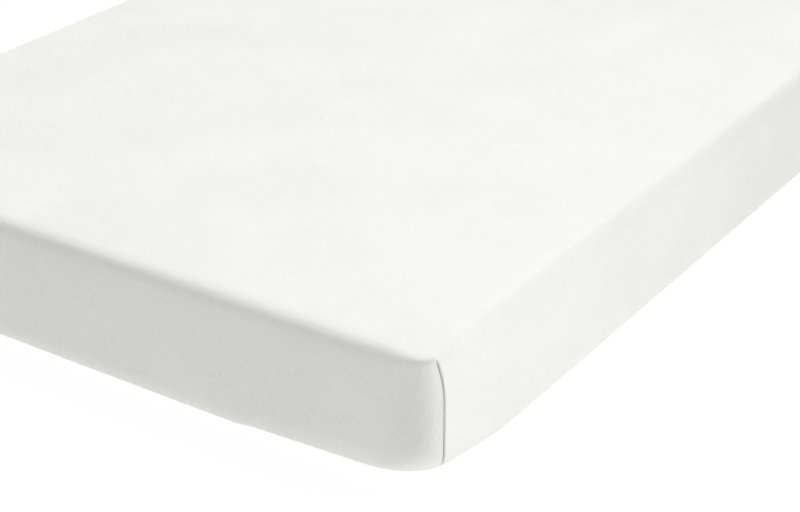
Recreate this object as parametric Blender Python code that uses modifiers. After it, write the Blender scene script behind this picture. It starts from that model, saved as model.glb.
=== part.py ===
"""A single fitted sheet stretched over its mattress.

The origin is the middle of the underside. +X runs across the bed, +Y along it and +Z up. Both solids are
lofts through outlines of the bed. In each corner stands a sewn seam: the end turns towards it ever faster,
the long side starts from it almost straight, and the hem draws both in under the mattress. Each solid is
made as one quarter of the bed and mirrored across X and Y.
"""

import math
from collections import namedtuple

import bmesh
import bpy
import numpy as np

# The dressed bed, over the cloth, in metres.
BED_WIDTH = 0.90
BED_LENGTH = 2.00
BED_HEIGHT = 0.16

# The sheet.
CLOTH_THICKNESS = 0.002
TURN_UNDER = 0.115  # how far the hem reaches in from the side of the bed, underneath
SEAM_HALF_WIDTH = 0.003
SEAM_DEPTH = 0.0010

# A corner of an outline: how far its seam stands from the end line, the angles that the end and the side turn
# through on their way to the seam, in radians, and the length of the side that turns. What the two angles
# leave of a quarter turn is the crease at the seam.
Corner = namedtuple("Corner", "from_end end_turn side_turn side_reach")
TOP_CORNER = Corner(0.022, 1.10, 0.37, 0.054)
MIDDLE_CORNER = Corner(0.0315, 1.10, 0.13, 0.054)
BOTTOM_CORNER = Corner(0.0375, 1.10, 0.29, 0.054)
HEM_CORNER = Corner(0.075, math.pi / 4, math.pi / 4, 0.30)
MIDDLE_HEIGHTS = (0.086, 0.115)  # between these the middle corner holds
HEIGHT_BLEND = 0.044  # the height over which one corner becomes the next
BULGE = 0.002  # of the sides, which stand out most halfway up

# How far each edge is rounded, on the straight runs and where the cloth is drawn in at the corners. A blend
# is the length of a side over which one becomes the other. In the top edge's profile the two parts that a
# circle would square are raised to TOP_SQUARENESS, which makes it squarer.
Rounding = namedtuple("Rounding", "inwards down")
TOP_ROUNDING = Rounding(0.026, 0.032)
TOP_ROUNDING_AT_CORNER = Rounding(0.024, 0.043)
TOP_CORNER_REACH = 0.030  # the top's corner rounding holds this far from the seam, and blends from there
TOP_BLEND = 0.090
TOP_SQUARENESS = 3.6
BOTTOM_ROUNDING = 0.029
BOTTOM_ROUNDING_AT_CORNER = 0.047
BOTTOM_BLEND_ON_END = 0.400
BOTTOM_BLEND_ON_SIDE = 0.140

# The mattress lies against the cloth on its flats. Its edges are rounder than the cloth and its corners turn
# further back, by these eases, so that it stays further off there.
MATTRESS_GAP = 0.00035
EDGE_EASE = 0.0045
CORNER_EASE = 0.0060

TOP_STEPS = 6
WALL_STEPS = 6
BOTTOM_STEPS = 5
MERGE_DISTANCE = 0.0001

# The ribs of the lofts, by how far each stands from the seam, round the outline of a quarter. Towards the
# middle of the end is negative, and the two outermost stop at the middles of the end and of the long side.
RIBS_BESIDE_SEAM = (0.006, 0.013, 0.021, 0.030, 0.040, 0.052, 0.066, 0.082, 0.105, 0.14, 0.19, 0.25, 0.33)
RIBS_AT_MIDDLES = (-BED_WIDTH, BED_LENGTH)

Material = namedtuple("Material", "name color roughness")
SHEET_CLOTH = Material("white knitted cotton", (0.93, 0.93, 0.91, 1.0), 0.92)
MATTRESS_COVER = Material("mattress ticking", (0.82, 0.80, 0.75, 1.0), 0.85)

# A section is a height on the profile. The outline there is drawn in by inset, and the surface faces out
# and up by the two parts of facing.
Section = namedtuple("Section", "height inset corner facing")


def smooth(share):
    """0 below 0, 1 above 1 and level at both ends."""
    share = np.clip(share, 0.0, 1.0)
    return share * share * (3.0 - 2.0 * share)


def corner_at(height, ease):
    """The corner at a height: the bottom, middle and top ones with smooth passages between them."""
    lowest, highest = MIDDLE_HEIGHTS
    to_top = smooth((height - highest) / HEIGHT_BLEND)
    to_bottom = smooth((lowest - height) / HEIGHT_BLEND)
    corner = Corner(*(
        middle + (top - middle) * to_top + (bottom - middle) * to_bottom
        for top, middle, bottom in zip(TOP_CORNER, MIDDLE_CORNER, BOTTOM_CORNER)))
    return corner._replace(from_end=corner.from_end + ease)


def turned_path(turn, share):
    """How far sideways and forwards a path of length 1 has come at a share of it.

    Its direction is the turn times the square of the share. These are the first terms of the two integrals.
    """
    sideways = turn * share ** 3 / 3.0 - turn ** 3 * share ** 7 / 42.0 + turn ** 5 * share ** 11 / 1320.0
    forwards = share - turn ** 2 * share ** 5 / 10.0 + turn ** 4 * share ** 9 / 216.0
    return sideways, forwards


def make_ribs(with_seam):
    """How far each rib stands from the seam, from the middle of the end to the middle of the long side."""
    beside = RIBS_BESIDE_SEAM + ((SEAM_HALF_WIDTH,) if with_seam else ())
    return np.array(sorted([*RIBS_AT_MIDDLES, 0.0, *beside, *(-gap for gap in beside)]))


def make_sections(ribs, inside=0.0, edge_ease=0.0, corner_ease=0.0):
    """The sections from the flat top down to the flat underside, inside the cloth's outer face by inside."""
    at_top_corner = smooth(1.0 - (abs(ribs) - TOP_CORNER_REACH) / TOP_BLEND)
    bottom_blend = np.where(ribs < 0.0, BOTTOM_BLEND_ON_END, BOTTOM_BLEND_ON_SIDE)
    at_bottom_corner = smooth(1.0 - abs(ribs) / bottom_blend)
    plain, corner = TOP_ROUNDING, TOP_ROUNDING_AT_CORNER
    inwards = plain.inwards + (corner.inwards - plain.inwards) * at_top_corner - inside + edge_ease
    down = plain.down + (corner.down - plain.down) * at_top_corner - inside + edge_ease
    bottom_round = BOTTOM_ROUNDING + (BOTTOM_ROUNDING_AT_CORNER - BOTTOM_ROUNDING) * at_bottom_corner
    bottom_round = bottom_round - inside + edge_ease
    top = BED_HEIGHT - inside
    profile = []  # height, inset and facing of each section
    for turn in np.linspace(0.0, math.pi / 2, TOP_STEPS + 1):
        out, up = math.sin(turn), math.cos(turn)
        sideways, upright = (part ** (2.0 / TOP_SQUARENESS) for part in (out, up))
        profile.append((top - down * (1.0 - upright), inwards * (1.0 - sideways), (out, up)))
    for share in np.linspace(0.0, 1.0, WALL_STEPS + 1)[1:-1]:
        height = (top - down) * (1.0 - share) + (inside + bottom_round) * share
        profile.append((height, 0.0, (1.0, 0.0)))
    for turn in np.linspace(0.0, math.pi / 2, BOTTOM_STEPS + 1):
        out, under = math.cos(turn), math.sin(turn)
        profile.append((inside + bottom_round * (1.0 - under), bottom_round * (1.0 - out), (out, -under)))
    sections = []
    for height, inset, facing in profile:
        sections.append(Section(height, inside + inset, corner_at(height, corner_ease), facing))
    return sections


def points_of(section, ribs):
    """One point of the section on each rib: along the end, round to the seam, and on along the side."""
    corner = section.corner
    inset = section.inset + BULGE * (2.0 * section.height / BED_HEIGHT - 1.0) ** 2
    end_aside, end_ahead = turned_path(corner.end_turn, 1.0)
    side_aside, side_ahead = turned_path(corner.side_turn, 1.0)
    end_reach = corner.from_end / end_aside
    seam_across = BED_WIDTH / 2 - inset - corner.side_reach * side_aside
    seam_along = BED_LENGTH / 2 - inset - corner.from_end
    before, past = np.maximum(-ribs, 0.0), np.maximum(ribs, 0.0)
    end_share = np.maximum(1.0 - before / end_reach, 0.0)
    side_share = np.maximum(1.0 - past / corner.side_reach, 0.0)
    aside, ahead = turned_path(corner.end_turn, end_share)
    on_end = (
        seam_across - end_reach * (end_ahead - ahead) - np.maximum(before - end_reach, 0.0),
        BED_LENGTH / 2 - inset - end_reach * aside)
    aside, ahead = turned_path(corner.side_turn, side_share)
    on_side = (
        BED_WIDTH / 2 - inset - corner.side_reach * aside,
        seam_along - corner.side_reach * (side_ahead - ahead) - np.maximum(past - corner.side_reach, 0.0))
    across, along = (np.where(ribs < 0.0, end, side) for end, side in zip(on_end, on_side))
    out, up = section.facing
    seam_faces = (corner.end_turn + math.pi / 2 - corner.side_turn) / 2.0
    sunk = np.where(ribs == 0.0, SEAM_DEPTH * smooth(abs(out) * 2.0 - 0.5), 0.0)
    across = np.maximum(across - sunk * out * np.sin(seam_faces), 0.0)
    along = np.maximum(along - sunk * out * np.cos(seam_faces), 0.0)
    return np.stack([across, along, section.height - sunk * up], axis=1)


def loft(name, rows, close_bottom):
    """A quarter of a skin through the rows of points, with a flat top and, if asked, a flat bottom."""
    skin = bmesh.new()
    rings = [[skin.verts.new(point) for point in row] for row in rows]
    for upper, lower in zip(rings, rings[1:]):
        for index in range(len(upper) - 1):
            skin.faces.new((upper[index], upper[index + 1], lower[index + 1], lower[index]))
    top_middle = skin.verts.new((0.0, 0.0, rows[0][0][2]))
    skin.faces.new([top_middle, *reversed(rings[0])])
    if close_bottom:
        bottom_middle = skin.verts.new((0.0, 0.0, rows[-1][0][2]))
        skin.faces.new([bottom_middle, *rings[-1]])
    bmesh.ops.recalc_face_normals(skin, faces=skin.faces)
    mesh = bpy.data.meshes.new(name)
    skin.to_mesh(mesh)
    skin.free()
    mesh.shade_smooth()
    return mesh


def make_material(look):
    material = bpy.data.materials.new(look.name)
    material.use_nodes = True
    shader = material.node_tree.nodes["Principled BSDF"]
    shader.inputs["Base Color"].default_value = look.color
    shader.inputs["Roughness"].default_value = look.roughness
    shader.inputs["Metallic"].default_value = 0.0
    return material


def place(name, mesh, look, collection):
    """The mesh as an object, mirrored from one quarter to the whole bed."""
    mesh.materials.append(make_material(look))
    item = bpy.data.objects.new(name, mesh)
    collection.objects.link(item)
    mirror = item.modifiers.new("four quarters", "MIRROR")
    mirror.use_axis = (True, True, False)
    mirror.merge_threshold = MERGE_DISTANCE
    return item


def make_sheet(collection):
    """The cloth: one skin over the top, down the sides and turned under, thickened inwards."""
    ribs = make_ribs(with_seam=True)
    everywhere = np.ones_like(ribs)
    hem = Section(0.0 * everywhere, TURN_UNDER * everywhere, HEM_CORNER, (0.0, -1.0))
    rows = [points_of(section, ribs) for section in [*make_sections(ribs), hem]]
    sheet = place("fitted_sheet", loft("fitted_sheet", rows, close_bottom=False), SHEET_CLOTH, collection)
    cloth = sheet.modifiers.new("cloth", "SOLIDIFY")
    cloth.thickness = CLOTH_THICKNESS
    cloth.offset = -1.0
    cloth.use_even_offset = True
    return sheet


def make_mattress(collection):
    """The plain mattress that fills the sheet."""
    ribs = make_ribs(with_seam=False)
    sections = make_sections(ribs, CLOTH_THICKNESS + MATTRESS_GAP, EDGE_EASE, CORNER_EASE)
    rows = [points_of(section, ribs) for section in sections]
    return place("mattress", loft("mattress", rows, close_bottom=True), MATTRESS_COVER, collection)


def main():
    for item in list(bpy.data.objects):
        bpy.data.objects.remove(item)
    collection = bpy.data.collections.new("fitted_sheet_on_mattress")
    bpy.context.scene.collection.children.link(collection)
    make_mattress(collection)
    make_sheet(collection)


main()
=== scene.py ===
import math

import bmesh
import bpy
import numpy as np
from mathutils import Matrix, Vector


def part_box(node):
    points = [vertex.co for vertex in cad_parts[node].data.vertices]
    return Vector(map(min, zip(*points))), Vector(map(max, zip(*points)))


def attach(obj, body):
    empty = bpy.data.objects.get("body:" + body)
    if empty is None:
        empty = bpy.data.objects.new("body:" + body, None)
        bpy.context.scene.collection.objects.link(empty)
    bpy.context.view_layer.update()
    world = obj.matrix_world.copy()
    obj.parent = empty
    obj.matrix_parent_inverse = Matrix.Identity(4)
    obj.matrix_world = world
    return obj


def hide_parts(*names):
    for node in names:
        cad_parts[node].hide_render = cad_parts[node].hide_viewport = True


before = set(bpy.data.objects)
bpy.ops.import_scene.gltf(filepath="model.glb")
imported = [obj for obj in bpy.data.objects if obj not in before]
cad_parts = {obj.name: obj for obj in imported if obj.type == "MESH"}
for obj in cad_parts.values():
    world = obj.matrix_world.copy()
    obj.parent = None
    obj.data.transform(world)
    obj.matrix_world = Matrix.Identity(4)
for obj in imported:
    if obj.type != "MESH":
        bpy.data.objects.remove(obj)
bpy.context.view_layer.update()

sheetLow, sheetHigh = (np.array(corner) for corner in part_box("fitted_sheet"))
halfWidth, halfLength, bedHeight = (sheetHigh - sheetLow) * (0.5, 0.5, 1.0)
quarterTurn = math.pi / 2
print("frame loaded, bed", np.round(sheetHigh - sheetLow, 3))


# 0 below 0, 1 above 1, and level at both ends: 3s^2 - 2s^3.
def smooth(share):
    share = np.clip(share, 0.0, 1.0)
    return share * share * (3.0 - 2.0 * share)


# A bell of height 1 over the middle: e to the minus square of the distance over the width.
def bell(distance, width):
    return np.exp(-((distance / width) ** 2))


# A new object for a mesh, a light or a camera, linked to the scene.
def addObject(name, data):
    item = bpy.data.objects.new(name, data)
    bpy.context.scene.collection.objects.link(item)
    return item


bedShape = {
    "topRounding": (0.026, 0.032),  # of the top edge: inwards and down
    "topRoundingAtCorner": (0.0145, 0.0110),
    "topBlend": 0.080,              # how far along a side the one at the corner becomes the plain one
    "topSquareness": 3.6,
    "bottomRounding": 0.029,
    "bottomRoundingAtCorner": 0.049,
    "bottomBlend": (0.340, 0.125),  # along the end and along the side
    # Each corner outline: how far the seam stands from the end line, the angles that the end and the side
    # turn through on their way to it, and the length of the side that turns.
    "topCorner": (0.0130, 1.40, 0.02, 0.052),
    "middleCorner": (0.029, 1.22, 0.02, 0.052),
    "bottomCorner": (0.036, 1.22, 0.24, 0.052),
    "hemCorner": (0.075, 0.785, 0.785, 0.30),
    "middleHeights": (0.073, 0.101),  # between these the middle corner holds
    "heightBlend": 0.060,           # below them it passes to the bottom one over this much
    "creaseBlend": 0.008,           # the length beside the seam over which the facing is blended
    "bulge": 0.002,                 # of the sides, which stand out most halfway up
    "turnUnder": 0.115,             # from the side of the bed to the hem's edge
}


# The middle corner between the middle heights. It passes to the top one by the square of the share of the
# way up, smoothly to the bottom one below, and underneath by the share inwards to the hem's. An ease sets the
# seam that much further from the end line.
def cornerAt(height, inwards=0.0, ease=0.0):
    lowest, highest = bedShape["middleHeights"]
    toTop = np.clip((height - highest) / (bedHeight - highest), 0.0, 1.0) ** 2
    toBottom = smooth((lowest - height) / bedShape["heightBlend"])
    corners = zip(*(bedShape[key] for key in ("topCorner", "middleCorner", "bottomCorner", "hemCorner")))
    values = []
    for top, middle, bottom, hem in corners:
        value = middle + (top - middle) * toTop + (bottom - middle) * toBottom
        values.append(value + (hem - value) * inwards)
    return values[0] + ease, *values[1:]


# How far sideways and forwards a path of length 1 has come at a share of it, while its direction is the turn
# times the square of the share: the first terms of the integrals of the sine and the cosine.
def turnedPath(turn, share):
    sideways = turn * share ** 3 / 3.0 - turn ** 3 * share ** 7 / 42.0 + turn ** 5 * share ** 11 / 1320.0
    forwards = share - turn ** 2 * share ** 5 / 10.0 + turn ** 4 * share ** 9 / 216.0
    return sideways, forwards


# Stations round a quarter, from the middle of the end to the middle of the side. Each is a distance from
# the seam, negative towards the end, and a share of what then is left to the middle.
def quarterStations(besideSeam, endShares, sideShares):
    far = besideSeam[-1]
    nearSeam = np.concatenate([
        np.full(len(endShares), -far), -besideSeam[::-1], [0.0], besideSeam, np.full(len(sideShares), far)])
    share = np.concatenate([endShares[::-1], np.zeros(2 * len(besideSeam) + 1), sideShares])
    return nearSeam, share


# The outline of a quarter: straight along the end, turning ever faster towards the seam, then the same way
# backwards along the side. The two turns leave a crease at the seam, and the facing is blended across it.
# It gives x and y, the facing's angle, the distance past the seam, and those from the middles of the end and
# of the side.
def quarterOutline(stations, inset, corner):
    nearSeam, share = stations
    fromEnd, endTurn, sideTurn, sideReach = corner
    endAside, endAhead = turnedPath(endTurn, 1.0)
    sideAside, sideAhead = turnedPath(sideTurn, 1.0)
    endReach = fromEnd / endAside
    seamX, seamY = halfWidth - inset - sideReach * sideAside, halfLength - inset - fromEnd
    toEndMiddle = seamX + endReach * (1.0 - endAhead)
    toSideMiddle = seamY + sideReach * (1.0 - sideAhead)
    toMiddle = np.where(nearSeam < 0.0, toEndMiddle, toSideMiddle)
    fromSeam = nearSeam + np.sign(nearSeam) * share * (toMiddle - abs(nearSeam))
    before, past = np.maximum(-fromSeam, 0.0), np.maximum(fromSeam, 0.0)
    endShare = np.maximum(1.0 - before / endReach, 0.0)
    sideShare = np.maximum(1.0 - past / sideReach, 0.0)
    aside, ahead = turnedPath(endTurn, endShare)
    endX = seamX - endReach * (endAhead - ahead) - np.maximum(before - endReach, 0.0)
    endY = halfLength - inset - endReach * aside
    aside, ahead = turnedPath(sideTurn, sideShare)
    sideX = halfWidth - inset - sideReach * aside
    sideY = seamY - sideReach * (sideAhead - ahead) - np.maximum(past - sideReach, 0.0)
    onEnd = fromSeam < 0.0
    angle = np.where(onEnd, endTurn * endShare ** 2, quarterTurn - sideTurn * sideShare ** 2)
    between = (endTurn + quarterTurn - sideTurn) / 2.0
    angle = between + (angle - between) * smooth(abs(fromSeam) / bedShape["creaseBlend"])
    x, y = np.where(onEnd, endX, sideX), np.where(onEnd, endY, sideY)
    return x, y, angle, fromSeam, toEndMiddle + fromSeam, toSideMiddle - fromSeam


# One quarter's columns laid four times round the bed, every second one mirrored and backwards, so that the
# ring runs clockwise seen from above.
def roundTheBed(values, signs=(1, 1, 1, 1)):
    forward, backward = values[:, :-1], values[:, :0:-1]
    return np.concatenate(
        [part * sign for part, sign in zip((forward, backward, forward, backward), signs)], axis=1)


xSigns = (1, 1, -1, -1)
ySigns = (1, -1, -1, 1)


# Which columns of the ring belong to the bed's two ends: those on the end's side of a seam.
def endColumns(stations):
    return roundTheBed(stations[0][None, :] < 0.0)[0] > 0


# The quads of a grid whose columns close into a ring. Each joins a row and a column to the next ones.
def ringQuads(rows, columns):
    row, column = np.meshgrid(np.arange(rows - 1), np.arange(columns), indexing="ij")
    following = (column + 1) % columns
    return np.stack([
        row * columns + column, row * columns + following,
        (row + 1) * columns + following, (row + 1) * columns + column], axis=-1).reshape(-1, 4)


mergeDistance = 1e-6                # metres between points that become one


# A mesh from a grid of points whose columns close into a ring, with the grid's UVs for the end panels and the
# side panels. Points that lie on each other, such as those of the ridge line, are merged.
def ringMesh(name, points, clothUv, endColumn, seamShade=None):
    rows, columns = points.shape[:2]
    corners = ringQuads(rows, columns)
    mesh = bpy.data.meshes.new(name)
    mesh.vertices.add(rows * columns)
    mesh.vertices.foreach_set("co", points.reshape(-1).astype(np.float32))
    mesh.loops.add(corners.size)
    mesh.loops.foreach_set("vertex_index", corners.reshape(-1).astype(np.int32))
    mesh.polygons.add(len(corners))
    mesh.polygons.foreach_set("loop_start", np.arange(0, corners.size, 4, dtype=np.int32))
    mesh.update(calc_edges=True)
    fromEnd = np.broadcast_to(endColumn[None, :], (rows - 1, columns)).reshape(-1)
    endUv, sideUv = (part.reshape(-1, 2)[corners] for part in clothUv)
    uv = np.where(fromEnd[:, None, None], endUv, sideUv)
    mesh.uv_layers.new(name="clothUv")
    mesh.uv_layers["clothUv"].data.foreach_set("uv", uv.reshape(-1).astype(np.float32))
    # the seamShade attribute carries the seam's painted shade to the material
    if seamShade is not None:
        mesh.attributes.new("seamShade", "FLOAT", "POINT")
        mesh.attributes["seamShade"].data.foreach_set("value", seamShade.reshape(-1).astype(np.float32))
    joined = bmesh.new()
    joined.from_mesh(mesh)
    bmesh.ops.remove_doubles(joined, verts=joined.verts, dist=mergeDistance)
    joined.to_mesh(mesh)
    joined.free()
    mesh.shade_smooth()
    return mesh


# A soft unevenness in metres: a sum of long sine waves over the place, each with its own direction.
def unevenness(x, y, z, seed, height, longest, shortest, waves):
    draw = np.random.default_rng(seed)
    total = np.zeros(np.broadcast(x, y, z).shape)
    for length in np.geomspace(longest, shortest, waves):
        direction = draw.normal(size=3)
        direction *= 2.0 * math.pi / (length * np.linalg.norm(direction))
        total += (length / longest) ** 0.5 * np.sin(
            direction[0] * x + direction[1] * y + direction[2] * z + draw.uniform(0.0, 2.0 * math.pi))
    return height * total / math.sqrt(waves / 2.0)


sheetLook = {
    "cloth": 0.0014,                # its thickness
    # The columns: their distances from the seam, and then shares of what is left to the middles.
    "besideSeam": np.cumsum(np.concatenate([
        np.full(8, 0.00025), np.geomspace(0.00025, 0.0034, 12), np.full(58, 0.0034)])),
    "endShares": np.linspace(0.0, 1.0, 11)[1:],
    "sideShares": np.linspace(0.0, 1.0, 33)[1:],
    # The top's rows, as shares of the way from its edge to its middle line.
    "topShares": np.concatenate([np.linspace(1.0, 0.1, 14), [0.055, 0.025]]),
    "innerTopShares": np.array([0.03, 0.25, 0.6, 1.0]),
    "rows": (12, 24, 12),           # over the top edge, down the wall and under the bottom edge
    "innerRows": (7, 5, 5),
    "innerUnderShares": (0.20, 0.45),  # of the inner face's rows between the bottom edge and the hem
    "seamDepth": 0.0042,
    "seamWidth": 0.0011,
    "seamFade": (0.157, 0.008),     # the seam starts below this height, over this much
    "seamUnder": (0.25, 0.20),      # what is left of it underneath, from this share of the way in to the hem
    "shadeWidth": 0.0010,           # of the painted shade down in the seam
    "lipHeight": (0.0003, 0.0001),  # of the cloth beside the seam: towards the end, and towards the side
    "lipWidth": 0.0013,
    "lipFromSeam": 0.0024,
    "softness": {"seed": 11, "height": 0.00016, "longest": 0.9, "shortest": 0.09, "waves": 9},
    "evenUnder": 0.25,              # the share of the way in from which the cloth is even underneath
    "hemWidth": 0.018,
    "foldStep": 0.01,               # half the share of the way in over which the hem's second layer begins
    "rimShare": 0.985,              # of the last row before the hem's edge, which is rolled
    "rimTurns": 5,                  # rows round that half turn, with its two ends
    # The groove that the stitching presses in. All but its depth are shares of the way in: how far it lies
    # past the hem's fold, its width, how far the close rows reach to both sides, and where the next rows are.
    "grooveFromFold": 0.02,
    "grooveWidth": 0.012,
    "grooveReach": 0.03,
    "grooveToNext": 0.07,
    "grooveDepth": 0.0004,
    "gatherHeight": 0.0013,
    "gatherPitch": 0.0165,
    "gatherWobble": ((0.35, 61.0, 0.0), (0.25, 97.0, 1.0)),  # strength, radians for each metre, and phase
    "gatherReach": (0.150, 0.060),  # the gathers' length on each side of a corner, and that of their end
    "gatherRise": (0.15, 0.60),     # the share of the way in where they start, and over which they rise
    "flat": (1.444, 2.544),
    "flatArea": 3.31,
}


# The roundings at every station, less inside: inwards and down at the top edge, and one at the bottom edge.
def edgeRoundings(stations, inside):
    nearSeam, share = stations
    far = abs(nearSeam) + share
    atTop = smooth(1.0 - far / bedShape["topBlend"])
    atBottom = smooth(1.0 - far / np.where(nearSeam < 0.0, *bedShape["bottomBlend"]))
    inwards, down = (
        plain + (corner - plain) * atTop - inside
        for plain, corner in zip(bedShape["topRounding"], bedShape["topRoundingAtCorner"]))
    plain, corner = bedShape["bottomRounding"], bedShape["bottomRoundingAtCorner"]
    return inwards, down, plain + (corner - plain) * atBottom - inside


# The rows of a skin over the top edge, down the wall and under the bottom edge, between two heights. The top
# edge is a squarish quarter curve: x and z to the power of the squareness add up to 1. Each row has its
# inset, its height and its facing, out and up, at every station.
def wallRows(roundings, top, bottom, counts):
    inwards, down, under = roundings
    topTurns, wallSteps, bottomTurns = counts
    turn = np.linspace(0.0, quarterTurn, topTurns)[:, None]
    power = bedShape["topSquareness"]
    sideways, upright = (abs(part) ** (2.0 / power) for part in (np.sin(turn), np.cos(turn)))
    out, up = sideways ** (power - 1.0) / inwards, upright ** (power - 1.0) / down
    length = np.hypot(out, up)
    over = inwards * (1.0 - sideways), top - down * (1.0 - upright), out / length, up / length
    share = np.linspace(0.0, 1.0, wallSteps + 2)[1:-1, None]
    height = (top - down) * (1.0 - share) + (bottom + under) * share
    wall = np.zeros_like(height), height, np.ones_like(height), np.zeros_like(height)
    turn = np.linspace(0.0, quarterTurn, bottomTurns)[:, None] + np.zeros_like(down)
    tuckInset, tuckHeight = under * (1.0 - np.cos(turn)), bottom + under * (1.0 - np.sin(turn))
    tuck = tuckInset, tuckHeight, np.cos(turn), -np.sin(turn)
    return [np.concatenate(parts, axis=0) for parts in zip(over, wall, tuck)]


# How far the sides fall back from the bulge halfway up: by the square of the distance from there.
def sideBulge(height):
    return bedShape["bulge"] * (2.0 * height / bedHeight - 1.0) ** 2


# The sheet's skin as rows over the edge, down the wall, under the edge and in to the hem. Inside is how far
# the rows lie under the outer skin. The inwards value is the share of the way in to the hem's edge.
def sheetRows(stations, inside, counts, underShares):
    roundings = edgeRoundings(stations, 0.0)
    inset, height, out, up = wallRows(roundings, bedHeight, 0.0, counts)
    underShares = underShares[:, None] + np.zeros_like(inset[:1])
    underInset = roundings[2] + (bedShape["turnUnder"] - roundings[2]) * underShares
    inwards = np.concatenate([np.zeros_like(inset), underShares])
    inset = np.concatenate([inset, underInset])
    height, out = (np.concatenate([values, np.zeros_like(underShares)]) for values in (height, out))
    up = np.concatenate([up, -np.ones_like(underShares)])
    rows = {"height": height - inside * up, "out": out, "up": up, "inwards": inwards}
    rows["inset"] = inset + inside * out + sideBulge(height)
    return rows, cornerAt(height, inwards)


# The unevenness of the sheet's cloth at a place.
def softRelief(x, y, z):
    return unevenness(x, y, z, **sheetLook["softness"])


# How much of the seam there is at a height and a share inwards: it fades in below its top, and most of it
# fades out underneath.
def seamShare(height, inwards):
    top, over = sheetLook["seamFade"]
    left, leftFrom = sheetLook["seamUnder"]
    return smooth((top - height) / over) * (1.0 - (1.0 - left) * smooth(inwards / leftFrom))


# How far each point stands out of the plain skin: sunk along the seam, raised at its lips, and uneven.
def sheetRelief(x, y, z, fromSeam, inwards):
    endLip, sideLip = sheetLook["lipHeight"]
    relief = -sheetLook["seamDepth"] * bell(fromSeam, sheetLook["seamWidth"])
    relief = relief + endLip * bell(fromSeam + sheetLook["lipFromSeam"], sheetLook["lipWidth"])
    relief = relief + sideLip * bell(fromSeam - sheetLook["lipFromSeam"], sheetLook["lipWidth"])
    uneven = softRelief(x, y, z) * (1.0 - smooth(inwards / sheetLook["evenUnder"]))
    return seamShare(z, inwards) * relief + uneven


# The hem's gathers: a wave along the hem near each corner that lifts the turned-in cloth off the floor.
def hemGathers(fromSeam, inwards):
    reach, fade = sheetLook["gatherReach"]
    start, rise = sheetLook["gatherRise"]
    near = smooth((reach + fade - abs(fromSeam)) / fade)
    wobble = sum(
        strength * np.sin(fromSeam * pitch + phase) for strength, pitch, phase in sheetLook["gatherWobble"])
    wave = 0.5 - 0.5 * np.cos(2.0 * math.pi * fromSeam / sheetLook["gatherPitch"] + wobble)
    return sheetLook["gatherHeight"] * near * smooth((inwards - start) / rise) * wave


# One face of the sheet round the whole bed: each point is the outline's at its row, moved along the facing by
# the relief, and kept over the floor. Its UVs run along the cloth and down it in metres. It gives the points,
# the UVs of the ends and of the sides, the shares inwards, and how dark the seam's painted shade is.
def sheetSkin(stations, inside, counts, underShares):
    rows, corner = sheetRows(stations, inside, counts, underShares)
    inset, height = rows["inset"], rows["height"]
    x, y, angle, fromSeam, endCloth, sideCloth = quarterOutline(stations, inset, corner)
    step = np.hypot(np.diff(inset, axis=0), np.diff(height, axis=0))
    drop = np.concatenate([np.zeros((1, step.shape[1])), np.cumsum(step, axis=0)])
    endDrop, sideDrop = halfLength - inset[0] + drop, halfWidth - inset[0] + drop
    x, faceX, endU, sideU = (
        roundTheBed(values, xSigns) for values in (x, rows["out"] * np.sin(angle), endCloth, sideDrop))
    y, faceY, endV, sideV = (
        roundTheBed(values, ySigns) for values in (y, rows["out"] * np.cos(angle), endDrop, sideCloth))
    z, faceZ, fromSeam, inwards = (
        roundTheBed(values) for values in (height, rows["up"], fromSeam, rows["inwards"]))
    relief = sheetRelief(x, y, z, fromSeam, inwards)
    overFloor = np.maximum(z + faceZ * relief, 0.0) + hemGathers(fromSeam, inwards)
    points = np.stack([x + faceX * relief, y + faceY * relief, overFloor], axis=-1)
    # painted shade: how much the cloth's colour is darkened along the seam, where the groove's shade falls
    shade = seamShare(z, inwards) * bell(fromSeam, sheetLook["shadeWidth"])
    return points, np.stack([endU, endV], axis=-1), np.stack([sideU, sideV], axis=-1), inwards, shade


# The middle of the top: each row runs a share of the way from the ring to the ridge line along the bed, and
# is as uneven there as the rest of the cloth.
def towardsRidge(ring, height, shares):
    ring = np.stack([ring[:, 0], ring[:, 1], np.full(len(ring), height)], axis=-1)
    ridge = ring.copy()
    ridge[:, 0] = 0.0
    ridge[:, 1] = np.clip(ring[:, 1], halfWidth - halfLength, halfLength - halfWidth)
    rows = ring + (ridge - ring) * shares[:, None, None]
    rows[:, :, 2] += softRelief(rows[:, :, 0], rows[:, :, 1], rows[:, :, 2])
    return rows


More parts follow.
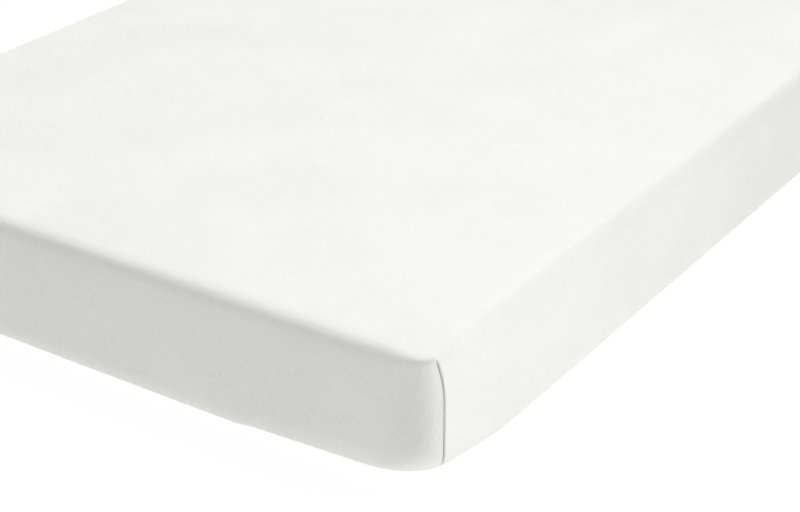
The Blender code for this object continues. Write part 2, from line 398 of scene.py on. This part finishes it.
# The sheet as one closed ring of rows: the top from its middle out, the outer face, the hem's rolled edge as
# a half turn, the inner face backwards, and the top's inner face back to the middle. Past the hem's fold the
# inner face steps in by one more layer of cloth.
def makeSheet():
    look = sheetLook
    stations = quarterStations(look["besideSeam"], look["endShares"], look["sideShares"])
    foldShare = 1.0 - look["hemWidth"] / (bedShape["turnUnder"] - bedShape["bottomRounding"])
    grooveShare = foldShare + look["grooveFromFold"]
    reach, step, rimShare = look["grooveReach"], look["foldStep"], look["rimShare"]
    underShares = np.concatenate([
        np.linspace(0.0, foldShare - reach, 9)[1:], grooveShare + np.linspace(-reach, reach, 7),
        np.linspace(grooveShare + look["grooveToNext"], rimShare, 4)])
    outer, outerEnd, outerSide, outerInwards, outerShade = sheetSkin(stations, 0.0, look["rows"], underShares)
    groove = look["grooveDepth"] * bell(outerInwards - grooveShare, look["grooveWidth"])
    outer[:, :, 2] += groove * (outerInwards > 0.0)
    innerShares = np.array([*look["innerUnderShares"], foldShare - step, foldShare + step, rimShare])
    inner, innerEnd, innerSide, innerInwards, _ = sheetSkin(
        stations, look["cloth"], look["innerRows"], innerShares)
    inner[:, :, 2] += look["cloth"] * (innerInwards > foldShare)
    rim, rimTop = outer[-1], inner[-1]
    outwards = rim - outer[-2]
    outwards *= look["cloth"] / np.linalg.norm(outwards, axis=1, keepdims=True)
    rimTurn = np.linspace(0.0, math.pi, look["rimTurns"])[1:-1, None, None]
    rolled = rim + (rimTop - rim) * (0.5 - 0.5 * np.cos(rimTurn)) + outwards * np.sin(rimTurn)
    top = towardsRidge(outer[0], bedHeight, look["topShares"])
    innerTop = towardsRidge(inner[0], bedHeight - look["cloth"], look["innerTopShares"])
    points = np.concatenate([top, outer, rolled, inner[::-1], innerTop])
    clothUv = [
        np.concatenate([
            top[:, :, :2], outerUv, np.repeat(outerUv[-1:], len(rolled), axis=0),
            innerUv[::-1], innerTop[:, :, :2]])
        for outerUv, innerUv in ((outerEnd, innerEnd), (outerSide, innerSide))]
    # the seam's painted shade lies on the outer face only
    shade = np.zeros(points.shape[:2])
    shade[len(top):len(top) + len(outer)] = outerShade
    return addObject("sheetCloth", ringMesh("sheetCloth", points, clothUv, endColumns(stations), shade))


sheetCloth = makeSheet()
print("sheet", len(sheetCloth.data.vertices), "points")

stitchLook = {
    "rowInsets": (0.0995, 0.1030),  # from the side of the bed, underneath
    "pitch": 0.0032,
    "length": 0.0024,
    "radius": 0.00024,
    "lift": 0.00026,                # of a stitch's middle line over the floor
    "around": 5,                    # sides of a stitch
    "shares": np.array([0.03, 0.25, 0.5, 0.75, 0.97]),  # of its length, where its rings of points lie
    "endShares": np.linspace(0.0, 1.0, 101)[1:],
    "sideShares": np.linspace(0.0, 1.0, 251)[1:],
}


# Stitches as one mesh: each a small spindle that runs along the hem's line, its radius the square root of a
# half wave over its length. The line at an inset is the hem's outline there, mirrored to all four quarters.
def makeStitches():
    look = stitchLook
    stations = quarterStations(sheetLook["besideSeam"], look["endShares"], look["sideShares"])
    shares = look["shares"]
    turns = np.arange(look["around"]) * 2.0 * math.pi / look["around"]
    rows, columns = len(shares), look["around"]
    size = rows * columns
    quads = ringQuads(rows, columns)[:, [0, 3, 2, 1]]  # turned round, to face outwards
    caps = np.array([range(columns), range(size - 1, size - 1 - columns, -1)])
    places, faces, count = [], [], 0
    for inset in look["rowInsets"]:
        inwards = (inset - bedShape["bottomRounding"]) / (bedShape["turnUnder"] - bedShape["bottomRounding"])
        x, y, _, fromSeam, _, _ = quarterOutline(stations, inset + bedShape["bulge"], cornerAt(0.0, inwards))
        lift = hemGathers(roundTheBed(fromSeam[None])[0], inwards)
        ring = np.stack([roundTheBed(x[None], xSigns)[0], roundTheBed(y[None], ySigns)[0], lift], axis=-1)
        ring = np.vstack([ring, ring[:1]])
        along = np.concatenate([[0.0], np.cumsum(np.linalg.norm(np.diff(ring, axis=0), axis=1))])
        number = int(along[-1] / look["pitch"])
        starts = np.arange(number) * along[-1] / number
        at = starts[:, None] + shares * look["length"]
        centre = np.stack([np.interp(at, along, ring[:, axis]) for axis in range(3)], axis=-1)
        centre[:, :, 2] += look["lift"]
        forward = centre[:, -1:] - centre[:, :1]
        forward /= np.linalg.norm(forward, axis=2, keepdims=True)
        sideways = np.cross(forward, (0.0, 0.0, 1.0))
        upwards = np.cross(sideways, forward)
        thick = look["radius"] * np.sqrt(np.sin(math.pi * shares))[None, :, None, None]
        spindle = centre[:, :, None] + thick * (
            np.cos(turns)[:, None] * sideways[:, :, None] + np.sin(turns)[:, None] * upwards[:, :, None])
        first = count + np.arange(number)[:, None, None] * size
        faces += (quads + first).reshape(-1, 4).tolist() + (caps + first).reshape(-1, columns).tolist()
        places.append(spindle.reshape(-1, 3))
        count += number * size
    mesh = bpy.data.meshes.new("hemStitching")
    mesh.from_pydata(np.concatenate(places).tolist(), [], faces)
    mesh.shade_smooth()
    return addObject("hemStitching", mesh)


hemStitching = makeStitches()
print("stitching", len(hemStitching.data.polygons), "faces")

mattressLook = {
    "inside": 0.0030,               # how far it lies inside the cloth's outer face, on the flats
    "edgeEase": 0.0050,             # how much rounder its edges are than a plain inset's
    "cornerEase": 0.0060,           # how much further from the end line its corners' crease stands
    "flatUnder": 0.0060,            # the underside's height near the hem
    "sag": 0.0030,                  # how far its middle sinks through the sheet's opening
    "sagReach": (0.01, 0.20),       # from this far past the hem's edge, over this much
    "besideSeam": np.cumsum(np.full(24, 0.005)),
    "endShares": np.linspace(0.0, 1.0, 13)[1:],
    "sideShares": np.linspace(0.0, 1.0, 33)[1:],
    "rows": (9, 10, 9),
    "shares": np.concatenate([np.linspace(1.0, 0.1, 12), [0.04]]),
}


# The mattress: the sheet's rows again, further in and rounder at the edges, closed above and below. The
# underside stands off the floor at the hem and sinks smoothly towards its middle.
def makeMattress():
    look = mattressLook
    stations = quarterStations(look["besideSeam"], look["endShares"], look["sideShares"])
    top, bottom = bedHeight - look["inside"], look["flatUnder"]
    roundings = edgeRoundings(stations, look["inside"] - look["edgeEase"])
    inset, height, _, _ = wallRows(roundings, top, bottom, look["rows"])
    x, y, _, _, endCloth, sideCloth = quarterOutline(
        stations, look["inside"] + inset + sideBulge(height), cornerAt(height, 0.0, look["cornerEase"]))
    z = roundTheBed(height)
    points = np.stack([roundTheBed(x, xSigns), roundTheBed(y, ySigns), z], axis=-1)
    above = towardsRidge(points[0], top, look["shares"])
    below = towardsRidge(points[-1], bottom, look["shares"][::-1])
    toEdge = np.minimum(halfWidth - abs(below[:, :, 0]), halfLength - abs(below[:, :, 1]))
    start, over = look["sagReach"]
    below[:, :, 2] -= look["sag"] * smooth((toEdge - bedShape["turnUnder"] - start) / over)
    endUv, sideUv = (roundTheBed(endCloth, xSigns), z), (z, roundTheBed(sideCloth, ySigns))
    clothUv = [
        np.concatenate([above[:, :, :2], np.stack(uv, axis=-1), below[:, :, :2]]) for uv in (endUv, sideUv)]
    points = np.concatenate([above, points, below])
    return addObject("mattressBody", ringMesh("mattressBody", points, clothUv, endColumns(stations)))


mattressBody = makeMattress()
print("mattress", len(mattressBody.data.vertices), "points")


# A Principled material with its colour, roughness, sheen and gloss.
def newMaterial(name, color, roughness, sheen, gloss=0.2, sheenRoughness=0.6):
    material = bpy.data.materials.new(name)
    material.use_nodes = True
    shader = material.node_tree.nodes["Principled BSDF"]
    shader.inputs["Base Color"].default_value = (*color, 1.0)
    shader.inputs["Roughness"].default_value = roughness
    shader.inputs["Specular IOR Level"].default_value = gloss
    shader.inputs["Sheen Weight"].default_value = sheen
    shader.inputs["Sheen Roughness"].default_value = sheenRoughness
    return material, shader


# Chains Math nodes: each step is an operation and its second value, taken on what came before.
def chainMath(tree, source, *steps):
    for operation, value in steps:
        node = tree.nodes.new("ShaderNodeMath")
        node.operation = operation
        tree.links.new(source, node.inputs[0])
        if isinstance(value, (int, float)):
            node.inputs[1].default_value = value
        elif value is not None:
            tree.links.new(value, node.inputs[1])
        source = node.outputs[0]
    return source


knitForm = {
    "lean": 1.6,                    # radians that a loop leans down from a rib's middle to its edge
    "loopShare": 0.25,              # half the share of a rib's height that the loops cut away
}


# A knitted face: ribs across u, each a half sine wave, cut by loops along v that lean down from a rib's
# middle. The height is the rib times the sum of a share of the loop's sine and what is left of 1.
def knitHeight(tree, across, along):
    texture = tree.nodes.new("ShaderNodeUVMap")
    texture.uv_map = "clothUv"
    split = tree.nodes.new("ShaderNodeSeparateXYZ")
    tree.links.new(texture.outputs["UV"], split.inputs[0])
    u, v = split.outputs[0], split.outputs[1]
    rib = chainMath(tree, u, ("MULTIPLY", math.pi / across), ("SINE", None), ("ABSOLUTE", None))
    lean = chainMath(tree, rib, ("MULTIPLY", knitForm["lean"]))
    loop = chainMath(tree, v, ("MULTIPLY", 2.0 * math.pi / along), ("ADD", lean), ("SINE", None))
    share = knitForm["loopShare"]
    return chainMath(tree, loop, ("MULTIPLY", share), ("ADD", 1.0 - share), ("MULTIPLY", rib))


# A noise over the object's own place: its scale for each metre, its detail and how rough the detail is.
def addNoise(tree, scale, detail, roughness=0.5):
    place = tree.nodes.new("ShaderNodeTexCoord")
    noise = tree.nodes.new("ShaderNodeTexNoise")
    noise.inputs["Scale"].default_value = scale
    noise.inputs["Detail"].default_value = detail
    noise.inputs["Roughness"].default_value = roughness
    tree.links.new(place.outputs["Object"], noise.inputs["Vector"])
    return noise.outputs["Fac"]


# Bump by a height whose 1 stands this distance out, on top of the bump before.
def addBump(tree, height, distance, before=None):
    bump = tree.nodes.new("ShaderNodeBump")
    bump.inputs["Strength"].default_value = 1.0
    bump.inputs["Distance"].default_value = distance
    tree.links.new(height, bump.inputs["Height"])
    if before is not None:
        tree.links.new(before, bump.inputs["Normal"])
    return bump.outputs["Normal"]


driftLimits = (0.35, 0.65)          # of the noise, between which a colour passes to its other one


# A colour that drifts between two close ones by a noise, from one limit of it to the other.
def driftColor(tree, drift, colors):
    ramp = tree.nodes.new("ShaderNodeValToRGB")
    for stop, color, limit in zip(ramp.color_ramp.elements, colors, driftLimits):
        stop.position = limit
        stop.color = (*color, 1.0)
    tree.links.new(addNoise(tree, *drift), ramp.inputs["Fac"])
    return ramp.outputs["Color"]


# Painted shade along the seam: mixes the dark painted-shade colour into the plain one by how much of the seam
# there is.
def paintSeamShade(tree, plain, color):
    attribute = tree.nodes.new("ShaderNodeAttribute")
    attribute.attribute_name = "seamShade"
    mix = tree.nodes.new("ShaderNodeMix")
    mix.data_type = "RGBA"          # with a factor at 0, its two colours at 6 and 7, and the mix at 2
    tree.links.new(attribute.outputs["Fac"], mix.inputs[0])
    tree.links.new(plain, mix.inputs[6])
    mix.inputs[7].default_value = (*color, 1.0)
    return mix.outputs[2]


clothLook = {
    "colors": ((0.880, 0.883, 0.846), (0.910, 0.913, 0.876)),
    # the painted shade that the cloth's colour is mixed towards down in the seam, where the groove's shade
    # falls
    "seamPaintedShade": (0.26, 0.26, 0.25),
    "roughness": 0.9,
    "sheen": 0.2,
    "drift": (9.0, 4.0),            # scale and detail of the noise that the colour drifts by
    "knitPitch": (0.0009, 0.0007),  # of the ribs and of the loops
    "knitDepth": 0.00007,
    "nap": (170.0, 4.0, 0.7),       # scale, detail and roughness of its noise
    "napDepth": 0.0010,
    "soft": (22.0, 3.0),            # scale and detail of its soft hollows' noise
    "softDepth": 0.0003,
}


# The sheet's cloth: a colour that drifts and is darker in the seam by painted shade, and the bump of soft
# hollows, of the nap and of the knit on top of each other.
def makeClothMaterial():
    look = clothLook
    material, shader = newMaterial("whiteKnit", look["colors"][1], look["roughness"], look["sheen"])
    tree = material.node_tree
    plain = driftColor(tree, look["drift"], look["colors"])
    # the seam's painted shade darkens the base colour along the groove
    tree.links.new(paintSeamShade(tree, plain, look["seamPaintedShade"]), shader.inputs["Base Color"])
    soft = addBump(tree, addNoise(tree, *look["soft"]), look["softDepth"])
    nap = addBump(tree, addNoise(tree, *look["nap"]), look["napDepth"], soft)
    knit = addBump(tree, knitHeight(tree, *look["knitPitch"]), look["knitDepth"], nap)
    tree.links.new(knit, shader.inputs["Normal"])
    return material


threadLook = {"color": (0.86, 0.86, 0.84), "roughness": 0.6, "sheen": 0.1}


# The sewing thread, in one colour.
def makeThreadMaterial():
    return newMaterial("whiteThread", threadLook["color"], threadLook["roughness"], threadLook["sheen"])[0]


tickingLook = {
    "colors": ((0.72, 0.70, 0.65), (0.78, 0.76, 0.71)),
    "roughness": 0.85,
    "sheen": 0.1,
    "drift": (14.0, 3.0),
    "weave": (0.0011, 0.0011),
    "weaveDepth": 0.00015,
}


# The mattress's cover: a colour that drifts, and a weave with the knit's form.
def makeTickingMaterial():
    look = tickingLook
    material, shader = newMaterial("ticking", look["colors"][1], look["roughness"], look["sheen"])
    tree = material.node_tree
    tree.links.new(driftColor(tree, look["drift"], look["colors"]), shader.inputs["Base Color"])
    weave = addBump(tree, knitHeight(tree, *look["weave"]), look["weaveDepth"])
    tree.links.new(weave, shader.inputs["Normal"])
    return material


sheetCloth.data.materials.append(makeClothMaterial())
hemStitching.data.materials.append(makeThreadMaterial())
mattressBody.data.materials.append(makeTickingMaterial())
print("materials made")

camera = {
    "place": (1.2668, -2.2626, 1.0422),
    "turn": 33.900,                 # degrees to the left of +Y
    "down": 27.127,                 # degrees below level
    "focal": 1904.5,                # pixels of a picture that is this wide
    "pictureWidth": 800,
    "sensorWidth": 36.0,
}


# The camera at the photo's angle: tipped up from looking straight down, then turned about the vertical.
def makeCamera():
    data = bpy.data.cameras.new("camera")
    data.sensor_width = camera["sensorWidth"]
    data.lens = camera["focal"] / camera["pictureWidth"] * data.sensor_width
    item = addObject("camera", data)
    item.matrix_world = (
        Matrix.Translation(camera["place"])
        @ Matrix.Rotation(math.radians(camera["turn"]), 4, "Z")
        @ Matrix.Rotation(math.radians(90.0 - camera["down"]), 4, "X"))
    bpy.context.scene.camera = item


studio = {
    "floorHalf": 20.0,
    "floorGrey": 0.05,
    "floorGlow": 0.96,
    "backdropRadius": 18.0,
    "backdropGrid": (32, 16),       # faces around and upwards
    "suns": (                       # turn from +X and height in degrees, and power
        (120.0, 65.0, 1.22),
        (30.0, 50.0, 1.12),
        (210.0, 35.0, 1.47),
    ),
    "sunAngle": 20.0,
    "softboxes": (                  # place, size and power, each facing the target
        ((0.0, -0.3, 1.6), 1.5, 3.4),
        ((1.4, 0.6, 1.2), 1.2, 2.4),
        ((1.6, -1.0, 0.4), 0.8, 5.2),
    ),
    "softboxTarget": (0.3, -0.9, 0.1),
}


# A matt white that glows by itself, for what stands round the bed.
def makeGlowMaterial(name, grey, glow):
    material, shader = newMaterial(name, (grey, grey, grey), roughness=1.0, sheen=0.0, gloss=0.0)
    shader.inputs["Emission Color"].default_value = (1.0, 1.0, 1.0, 1.0)
    shader.inputs["Emission Strength"].default_value = glow
    return material


# A plain white floor that glows a little, so that it stays white in soft shadow.
def makeFloor():
    half = studio["floorHalf"]
    mesh = bpy.data.meshes.new("floor")
    corners = [(-half, -half, 0.0), (half, -half, 0.0), (half, half, 0.0), (-half, half, 0.0)]
    mesh.from_pydata(corners, [], [(0, 1, 2, 3)])
    mesh.materials.append(makeGlowMaterial("floorWhite", studio["floorGrey"], studio["floorGlow"]))
    return addObject("floor", mesh)


# A plain white ball round everything that only the camera sees, so it adds no light and casts no shadow.
def makeBackdrop():
    mesh = bpy.data.meshes.new("backdrop")
    ball = bmesh.new()
    around, upwards = studio["backdropGrid"]
    bmesh.ops.create_uvsphere(ball, u_segments=around, v_segments=upwards, radius=studio["backdropRadius"])
    ball.to_mesh(mesh)
    ball.free()
    mesh.materials.append(makeGlowMaterial("backdropWhite", grey=0.0, glow=1.0))
    backdrop = addObject("backdrop", mesh)
    for rays in ("diffuse", "glossy", "transmission", "volume_scatter", "shadow"):
        setattr(backdrop, "visible_" + rays, False)
    return backdrop


# A light whose back, its +Z side, faces the given direction.
def placeLight(data, place, direction):
    item = addObject(data.name, data)
    item.location = place
    item.rotation_euler = direction.to_track_quat("Z", "Y").to_euler()


# A sun shines from its turn and height: (cos turn cos height, sin turn cos height, sin height). It is as
# strong everywhere, so its own place doesn't matter. The world itself gives no light.
def makeLights():
    world = bpy.data.worlds.new("darkRoom")
    bpy.context.scene.world = world
    world.use_nodes = True
    world.node_tree.nodes["Background"].inputs["Color"].default_value = (0.0, 0.0, 0.0, 1.0)
    for turn, height, power in studio["suns"]:
        data = bpy.data.lights.new("sun", "SUN")
        data.energy = power
        data.angle = math.radians(studio["sunAngle"])
        turn, height = math.radians(turn), math.radians(height)
        flat = math.cos(height)
        direction = Vector((math.cos(turn) * flat, math.sin(turn) * flat, math.sin(height)))
        placeLight(data, direction, direction)
    for place, size, power in studio["softboxes"]:
        data = bpy.data.lights.new("softbox", "AREA")
        data.shape = "SQUARE"
        data.size = size
        data.energy = power
        placeLight(data, place, Vector(place) - Vector(studio["softboxTarget"]))


makeCamera()
makeFloor()
makeBackdrop()
makeLights()
bpy.context.scene.view_settings.view_transform = "Standard"
print("camera, floor and lights placed")

for piece, node, slot in (
        (sheetCloth, "fitted_sheet", "sheet_cloth"), (hemStitching, "fitted_sheet", "sheet_cloth"),
        (mattressBody, "mattress", "mattress_cover")):
    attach(piece, "root")
    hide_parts(node)

print("done")
